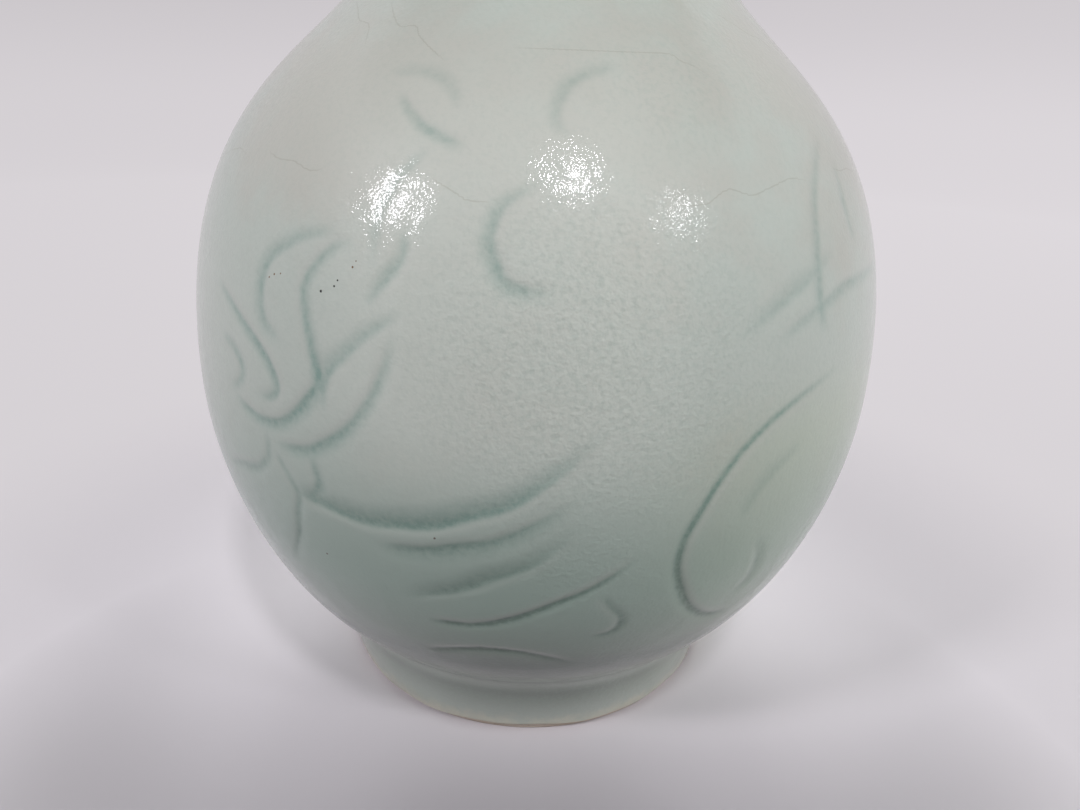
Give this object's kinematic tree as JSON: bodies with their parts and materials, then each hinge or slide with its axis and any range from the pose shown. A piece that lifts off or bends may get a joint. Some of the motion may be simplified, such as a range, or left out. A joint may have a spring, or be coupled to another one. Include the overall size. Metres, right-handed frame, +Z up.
{
  "type": "celadon bottle vase",
  "caption": "Round-bodied celadon bottle vase on a foot ring, with a flared neck, made as thrown clay pieces luted with slip under separate glaze coats.",
  "frame": {"origin": "middle of the foot ring's rest face, on the surface that the vase stands on", "axes": "+Z up along the axis that the pot was thrown on; the pictured side faces -Y"},
  "size_m": [0.16, 0.16, 0.248],
  "materials": {
    "celadon_glaze": "glossy pale blue-green celadon glaze over carved strokes",
    "celadon_lining": "glossy pale blue-green celadon glaze, plain",
    "body_clay": "fired stoneware under glaze",
    "foot_clay": "bare stoneware, wiped and lightly flashed pinkish brown",
    "seam_slip": "fired slip"
  },
  "bodies": {
    "root": {"foot_ring": "foot_clay", "foot_seam_slip": "seam_slip", "lower_body": "body_clay", "belly_seam_slip": "seam_slip", "upper_body": "body_clay", "neck_seam_slip": "seam_slip", "neck": "body_clay", "outer_glaze": "celadon_glaze", "inner_glaze": "celadon_lining", "base_glaze": "celadon_lining"}
  },
  "joints": []
}
